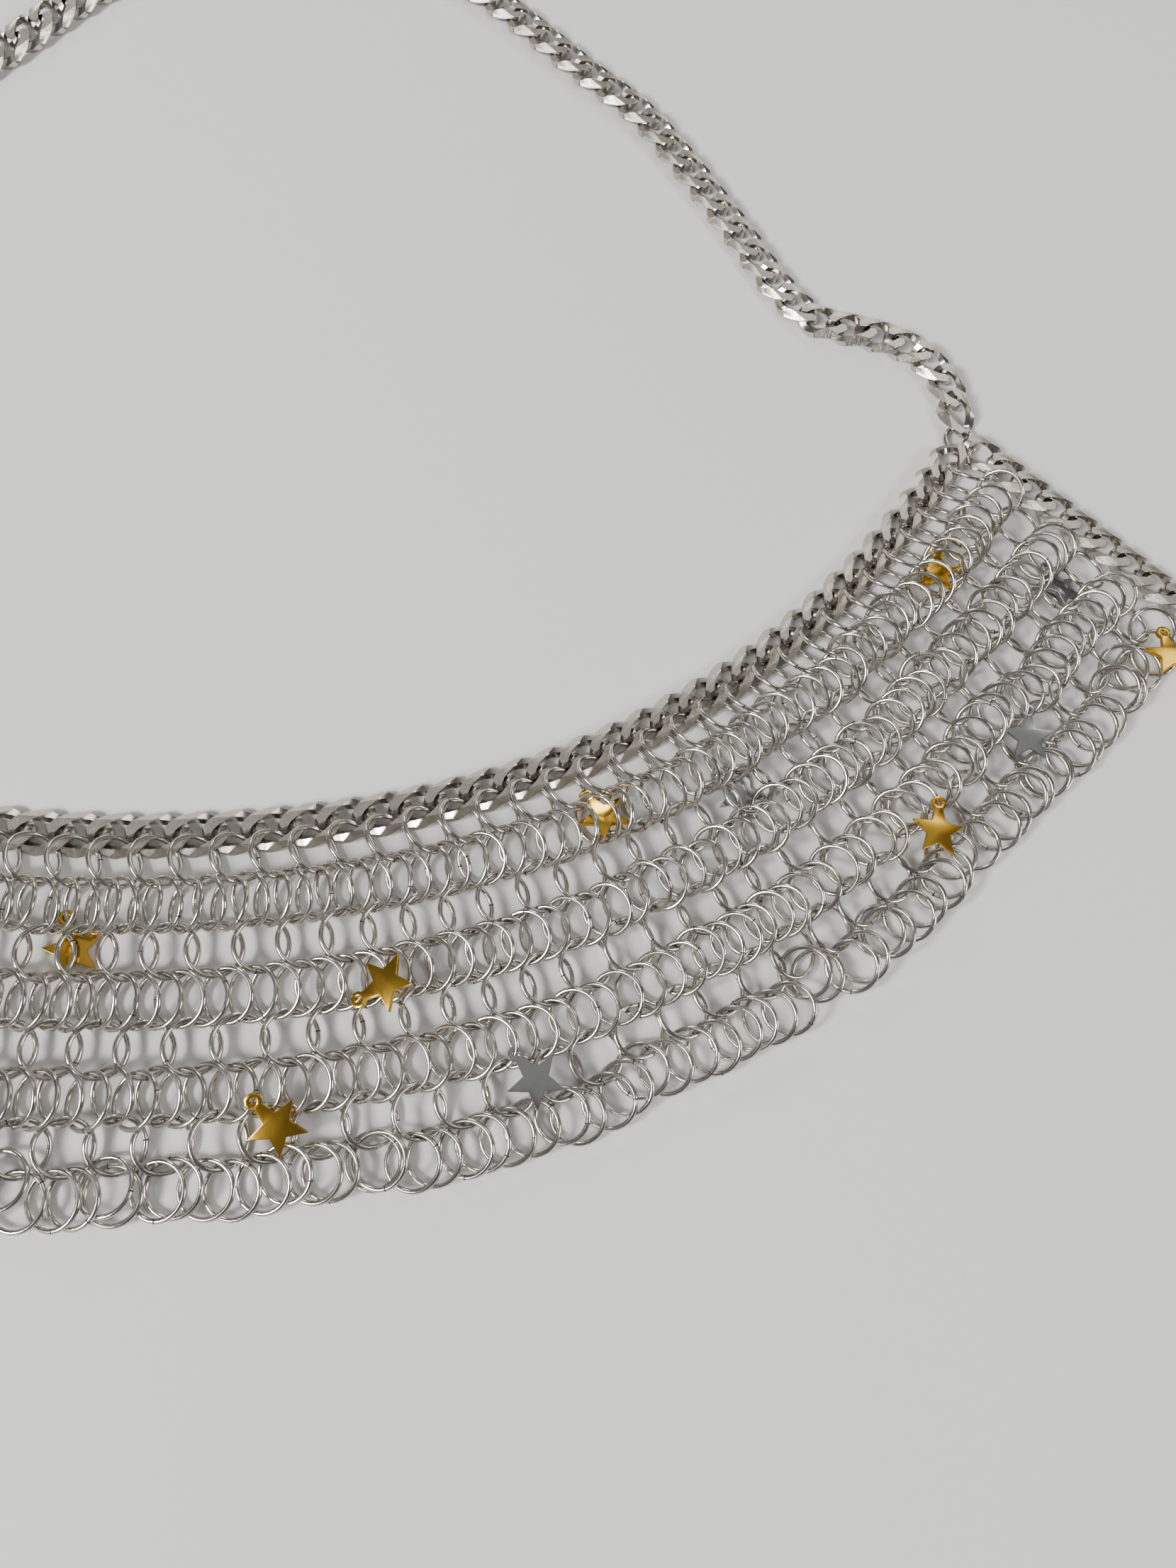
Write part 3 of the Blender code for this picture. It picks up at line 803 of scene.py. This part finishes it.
def star_outline():
    """Outline of a five-pointed star with a round eye at its upper point, and the eye's hole."""
    def around(radius, turn, rise=0.0, floor=-inf):
        angle = radians(turn)
        return radius * cos(angle), max(floor, rise + radius * sin(angle))

    outline = [around(STAR_WAIST if i % 2 else STAR_RADIUS, 90 + 36 * i) for i in range(1, 10)]
    outline += [around(EYE_RADIUS, -60 + 37.5 * i, EYE_RISE, EYE_FOOT) for i in range(9)]
    return outline, [around(EYE_HOLE, 30 * i, EYE_RISE) for i in range(12)]


def star_charm():
    """A flat star with a softened rim."""
    star = curve_mesh("star", star_outline(), True, dimensions="2D", fill_mode="BOTH",
                      extrude=STAR_THICK / 2 - STAR_RIM, bevel_depth=STAR_RIM, bevel_resolution=1)
    bpy.ops.object.editmode_toggle()
    bpy.ops.mesh.select_all(action="SELECT")
    bpy.ops.mesh.remove_doubles(threshold=0.01)
    bpy.ops.mesh.normals_make_consistent(inside=False)
    bpy.ops.object.editmode_toggle()
    bpy.ops.object.shade_smooth_by_angle(angle=radians(30))
    return star


class Value:
    """A shader socket that can be used in sums."""

    def __init__(self, shader, socket):
        self.shader, self.socket = shader, socket

    def __add__(self, other):
        return self.shader.math("ADD", self, other)

    def __sub__(self, other):
        return self.shader.math("SUBTRACT", self, other)

    def __rsub__(self, other):
        return self.shader.math("SUBTRACT", other, self)

    def __mul__(self, other):
        return self.shader.math("MULTIPLY", self, other)

    __radd__ = __add__
    __rmul__ = __mul__


class Shader:
    """A material or world that is built a node at a time."""

    def __init__(self, name, kind="materials", surface="Principled BSDF"):
        self.made = getattr(bpy.data, kind).new(name)
        self.made.use_nodes = True
        self.tree = self.made.node_tree
        self.surface = self.tree.nodes[surface]

    def node(self, kind, inputs, out=0, **settings):
        """A node with the values or links of its sockets, and its settings."""
        made = self.tree.nodes.new("ShaderNode" + kind)
        for key, value in settings.items():
            setattr(made, key, value)
        self.feed(made, inputs)
        return Value(self, made.outputs[out])

    def feed(self, node, inputs):
        """Set or link a node's sockets."""
        for key, value in inputs.items():
            if isinstance(value, Value):
                self.tree.links.new(value.socket, node.inputs[key])
            else:
                node.inputs[key].default_value = value

    def math(self, operation, a, b):
        """A sum of two values."""
        return self.node("Math", {0: a, 1: b}, operation=operation)

    def between(self, value, low, high):
        """0 below low, 1 above high, eased between."""
        return self.node("MapRange", {"Value": value, "From Min": low, "From Max": high},
                         interpolation_type="SMOOTHSTEP")

    def place(self, kind="Object"):
        """Where a point of the surface is."""
        return self.node("TexCoord", {}, kind)

    def noise(self, vector, scale, detail):
        """Cloudy values from 0 to 1."""
        return self.node("TexNoise", {"Vector": vector, "Scale": scale, "Detail": detail})

    def strokes(self, turn, along, across, detail):
        """Noise drawn out to lines that lie turned in plan."""
        lines = self.node("Mapping", {"Vector": self.place(), "Rotation": (0, 0, turn),
                                      "Scale": (across, along, along)})
        return self.noise(lines, 1.0, detail)

    def mix(self, factor, a, b):
        """A colour between two colours."""
        return self.node("Mix", {0: factor, 6: a, 7: b}, 2, data_type="RGBA")

    def dulled(self, factor, colour, amount):
        """A colour that is this much darker where the factor is 0."""
        return self.mix(factor, shade(colour, amount), colour)

    def finish(self, **inputs):
        """Feed the surface; a name's underscores are spaces."""
        self.feed(self.surface, {key.replace("_", " "): value for key, value in inputs.items()})
        return self.made

    def metal(self, colour, roughness, strength, distance, height):
        """Finish a metal; the last three are its bump's."""
        bump = self.node("Bump", {"Strength": strength, "Distance": distance, "Height": height})
        return self.finish(Base_Color=colour, Metallic=1.0, Roughness=roughness, Normal=bump)


def shade(colour, amount):
    """A colour made darker."""
    return (*(amount * part for part in colour[:3]), 1.0)


def wire_steel(colour):
    """Drawn stainless wire: warm grey, fine lines along it and a dark butt seam on each ring."""
    shader = Shader("wire_steel")
    uv = shader.place("UV")
    along = shader.node("SeparateXYZ", {0: uv}, "X")
    lines = shader.node("VectorMath", {0: uv, 1: (6.0, 26.0, 1.0)}, operation="MULTIPLY")
    drawn = shader.noise(lines, 1.0, 3.0)
    haze = shader.noise(shader.place(), 220.0, 3.0)
    seam = 1.0 - shader.between(shader.math("ABSOLUTE", along - 0.5, 0.0), 0.0030, 0.0050)
    tone = shader.mix(seam, shader.dulled(haze, colour, 0.72), shade(colour, 0.06))
    return shader.metal(tone, 0.12 + 0.12 * haze + 0.3 * seam, 0.12, 0.00006, drawn - 3.0 * seam)


def link_steel(colour):
    """Polished rounds of the chain's links."""
    shader = Shader("link_steel")
    haze = shader.noise(shader.place(), 350.0, 4.0)
    return shader.metal(shader.dulled(haze, colour, 0.74), 0.10 + 0.14 * haze, 0.12, 0.0001, haze)


def facet_steel(colour):
    """Cut facets: flat, with a fine grain and stray scratches."""
    shader = Shader("facet_steel")
    grain = shader.noise(shader.place(), 3400.0, 3.0)
    patch = shader.noise(shader.place(), 300.0, 3.0)
    scratch = shader.between(shader.strokes(0.6, 700.0, 9000.0, 2.0), 0.60, 0.70)
    speck = shader.between(grain, 0.40, 0.62)
    tone = shader.mix(speck * 0.45, shader.dulled(patch, colour, 0.74), shade(colour, 0.5))
    return shader.metal(tone, 0.24 + 0.16 * patch + 0.15 * scratch, 0.45, 0.00006,
                        grain + 0.8 * scratch)


def satin(name, colour):
    """Satin plating of a star, with a faint brushed grain."""
    shader = Shader(name)
    cloud = shader.noise(shader.place(), 300.0, 2.0)
    brushed = shader.strokes(0.9, 500.0, 5000.0, 3.0)
    return shader.metal(shader.dulled(cloud, colour, 0.78), 0.15 + 0.06 * brushed + 0.05 * cloud,
                        0.07, 0.00004, brushed)


def chain_piece(piece, node):
    """Attach a piece of the chains or the closure to the root, and hide the model's part that it
    replaces.
    """
    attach(piece, "root")
    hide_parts(node)


def colour_setting(name, part, default):
    return bpy.props.FloatVectorProperty(name=name, description="Colour of the " + part, size=4,
                                         default=(*default, 1.0), subtype="COLOR", min=0.0, max=1.0)


def length_setting(name, part, default, low, high):
    return bpy.props.FloatProperty(name=name, description="Thickness of the " + part, precision=5,
                                   default=default * MM, min=low * MM, max=high * MM, unit="LENGTH")


class HalterSettings(bpy.types.PropertyGroup):
    """Sizes and colours of the halter top, and how its mail lies."""
    wire: length_setting("Ring wire", "wire of the mail's rings", WIRE, 0.6, 1.1)
    link_wire: length_setting("Link wire", "curb links' wire", LINK_WIRE, 1.8, 2.3)
    hook_wire: length_setting("Hook wire", "closure hook's wire", 1.2, 1.0, 1.3)
    ring_colour: colour_setting("Rings", "mail's wire", (0.64, 0.60, 0.54))
    link_colour: colour_setting("Link rounds", "links' round sides", (0.64, 0.60, 0.54))
    facet_colour: colour_setting("Link facets", "links' cut facets", (0.70, 0.64, 0.55))
    gold_colour: colour_setting("Gold stars", "gold charms", (0.76, 0.45, 0.06))
    steel_colour: colour_setting("Steel stars", "steel charms", (0.42, 0.42, 0.41))
    floor_colour: colour_setting("Floor", "floor", (0.74, 0.73, 0.71))
    lean: bpy.props.FloatProperty(
        name="Lean", description="How far the leaning rings of the mail are raised at their right side",
        default=radians(45), min=radians(35), max=radians(60), subtype="ANGLE")
    tumble: bpy.props.FloatProperty(
        name="Tumble", description="How untidily the rings lie", default=1.0, min=0.0, max=1.5,
        subtype="FACTOR")
    rounds: bpy.props.IntProperty(
        name="Settling rounds", description="Steps in which the rings push each other apart and sink",
        default=200, min=0, max=1000)
    seed: bpy.props.IntProperty(
        name="Seed", description="Start of the random numbers that lay the rings", default=13, min=0)


class HALTER_OT_mail(bpy.types.Operator):
    """Hang the ring mail from the neckline and let its rings settle"""
    bl_idname = "halter.mail"
    bl_label = "Ring Mail"

    def execute(self, context):
        settings = context.scene.halter
        mail = Mail(Band(neckline_route()), settings)
        mail.relax(settings.rounds)
        rng = np.random.default_rng(settings.seed + 3)
        for star in STARS:
            mail.charms.append(hang_charm(star, mail, rng))
        mail.relax(60)
        for charm, holder in mail.charms:
            charm.hang_from(mail.points([holder], 90)[0])
        mail.relax(30)
        PLACES["charms"] = [charm.matrix() for charm, _ in mail.charms]
        found = mail.linked()
        print(len(mail.rows), "rings, links missing:", len(mail.links - found), "extra:",
              len(found - mail.links))
        rng = np.random.default_rng(settings.seed + 1)
        spins = rng.uniform(0, 2 * pi, len(mail.rows))
        cage = wire_ring_cage(mail.wire)
        cage.data.materials.append(wire_steel(settings.ring_colour))
        for name, right in (("mail_left", False), ("mail_right", True)):
            places = [ring_matrix(*ring) for column, *ring
                      in zip(mail.columns, mail.middles, mail.normals, spins) if (column >= 0) == right]
            piece = joined(name, cage, places)
            smooth = piece.modifiers.new("round", "SUBSURF")
            smooth.levels = smooth.render_levels = 1
            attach(piece, "root")
            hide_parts("mail_front")
        bpy.data.objects.remove(cage)
        return {"FINISHED"}


class HALTER_OT_chains(bpy.types.Operator):
    """Lay the curb chains of the neckline, neck loop and sides"""
    bl_idname = "halter.chains"
    bl_label = "Curb Chains"

    def execute(self, context):
        rng = np.random.default_rng(context.scene.halter.seed + 2)
        link = chain_link(context.scene.halter)
        band = Band(neckline_route())
        starts = [band.along(k + 0.5 - COLUMNS / 2) for k in range(COLUMNS)]
        self.chain("neckline_links", "neckline_chain", link, band.neckline, starts, rng)
        loop = smooth_route(NECK_LOOP)
        count = round((loop.length - LINK_PITCH) / LINK_PITCH)
        pitch = (loop.length - 2 * LOOP_START) / count
        self.chain("neck_loop_links", "neck_loop_chain", link, loop,
                   [LOOP_START + pitch * i for i in range(count + 1)], rng)
        for side, sign in SIDES:
            route = side_route(sign)
            self.chain("side_links_" + side, "side_chain_" + side, link, route, side_stops(route),
                       rng, END_ROLL)
        bpy.data.objects.remove(link)
        return {"FINISHED"}

    def chain(self, name, node, link, route, starts, rng, end_roll=None):
        """One chain of links along a route."""
        chain_piece(joined(name, link, chain_places(route, starts, rng, end_roll)), node)


class HALTER_OT_stars(bpy.types.Operator):
    """Hang the star charms in the mail"""
    bl_idname = "halter.stars"
    bl_label = "Star Charms"

    def execute(self, context):
        charm = star_charm()
        settings = context.scene.halter
        for metal, colour in ((GOLD, settings.gold_colour), (STEEL, settings.steel_colour)):
            charm.data.materials.clear()
            charm.data.materials.append(satin("star_" + metal, colour))
            chosen = [i for i, star in enumerate(STARS) if star.metal == metal]
            piece = joined("stars_" + metal, charm, [PLACES["charms"][i] for i in chosen])
            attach(piece, "root")
            nodes = ["star_%s_%02d" % (metal, i + 1) for i in chosen]
            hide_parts(*nodes)
        bpy.data.objects.remove(charm)
        return {"FINISHED"}


class HALTER_OT_closure(bpy.types.Operator):
    """Add the corner rings, and the ring and hook at the ends of the side chains"""
    bl_idname = "halter.closure"
    bl_label = "Rings and Hook"

    def execute(self, context):
        settings = context.scene.halter
        metal = link_steel(settings.link_colour)
        for side, sign in SIDES:
            ring = torus(CORNER_RADIUS, CORNER_WIRE, 32, 10)
            place = Matrix.Translation((sign * HALF_CHORD, SCOOP, CORNER_HEIGHT))
            self.lay("corner_link_" + side, ring, place, metal, "corner_ring_" + side)
        ring = torus(END_RADIUS, END_WIRE, 40, 10)
        place = end_place(-1, END_REACH, END_RADIUS, 2 * END_WIRE)
        self.lay("end_ring", ring, place, metal, "back_ring")
        wire = settings.hook_wire / MM
        place = end_place(1, HOOK_REACH, 2 * HOOK_RADIUS, wire)
        self.lay("end_hook", self.hook(wire), place, metal, "back_hook")
        return {"FINISHED"}

    def lay(self, name, template, place, metal, node):
        """One piece of the closure at its place."""
        template.data.materials.append(metal)
        chain_piece(joined(name, template, [place]), node)
        bpy.data.objects.remove(template)

    def hook(self, wire):
        """A plain S-hook bent from one wire."""
        turns = [radians(a) for a in range(-90, 151, 10)]
        upper = [Vector((HOOK_RADIUS * (1 + sin(a)), -HOOK_RADIUS * cos(a))) for a in turns]
        line = upper[::-1] + [-p for p in upper[1:]]
        hook = curve_mesh("hook", [line], False, dimensions="3D", bevel_depth=wire / 2,
                          bevel_resolution=2, use_fill_caps=True)
        bpy.ops.object.shade_smooth()
        return hook


class HALTER_OT_stage(bpy.types.Operator):
    """Add the floor, lights and camera"""
    bl_idname = "halter.stage"
    bl_label = "Stage"

    def execute(self, context):
        bpy.ops.mesh.primitive_plane_add(size=6.0, location=(0, 0, -0.00005))
        floor = context.object
        floor.name = "floor"
        floor.data.materials.append(
            Shader("floor").finish(Base_Color=context.scene.halter.floor_colour, Roughness=0.7))
        for name, place, size, power in LAMPS:
            data = self.light(name, "AREA", power, place)
            data.shape = "DISK"
            data.size = size
        self.light("wash", "SUN", 1.9, (-0.75, -0.60, 0.70)).angle = radians(24)
        sky = Shader("studio", "worlds", "Background")
        height = sky.node("SeparateXYZ", {0: sky.place("Generated")}, "Z")
        context.scene.world = sky.finish(Color=sky.mix(sky.between(height, 0.0, 0.3), HORIZON, ZENITH))
        data = bpy.data.cameras.new("camera")
        data.sensor_fit = "VERTICAL"
        data.sensor_height = 36.0
        data.lens = 27.02
        data.clip_start = 0.001
        camera = added("camera", data)
        turn = Matrix((CAMERA_RIGHT, CAMERA_UP, CAMERA_BACK)).transposed().to_4x4()
        camera.matrix_world = Matrix.Translation((Vector(CAMERA.tolist()) + LAY) * MM) @ turn
        context.scene.camera = camera
        return {"FINISHED"}

    def light(self, name, kind, power, place):
        """Put a light at a place, pointing at the mail; its data."""
        data = bpy.data.lights.new(name, kind)
        data.energy = power
        lamp = added(name, data)
        lamp.location = place
        lamp.rotation_mode = "QUATERNION"
        lamp.rotation_quaternion = (LIT - Vector(place)).to_track_quat("-Z", "Y")
        return data


class HALTER_PT_panel(bpy.types.Panel):
    """Buttons that build the halter top"""
    bl_idname = "HALTER_PT_panel"
    bl_label = "Halter Top"
    bl_space_type = "VIEW_3D"
    bl_region_type = "UI"
    bl_category = "Halter Top"

    def draw(self, context):
        for name in HalterSettings.__annotations__:
            self.layout.prop(context.scene.halter, name)
        for operator in OPERATORS:
            self.layout.operator(operator.bl_idname)


OPERATORS = (HALTER_OT_mail, HALTER_OT_chains, HALTER_OT_stars, HALTER_OT_closure, HALTER_OT_stage)
CLASSES = (HalterSettings, *OPERATORS, HALTER_PT_panel)


def register():
    for cls in CLASSES:
        bpy.utils.register_class(cls)
    bpy.types.Scene.halter = bpy.props.PointerProperty(type=HalterSettings)


def unregister():
    del bpy.types.Scene.halter
    for cls in reversed(CLASSES):
        bpy.utils.unregister_class(cls)


def main():
    register()
    bpy.ops.halter.mail()
    bpy.ops.halter.chains()
    bpy.ops.halter.stars()
    bpy.ops.halter.closure()
    bpy.ops.halter.stage()


if __name__ == "__main__":
    main()
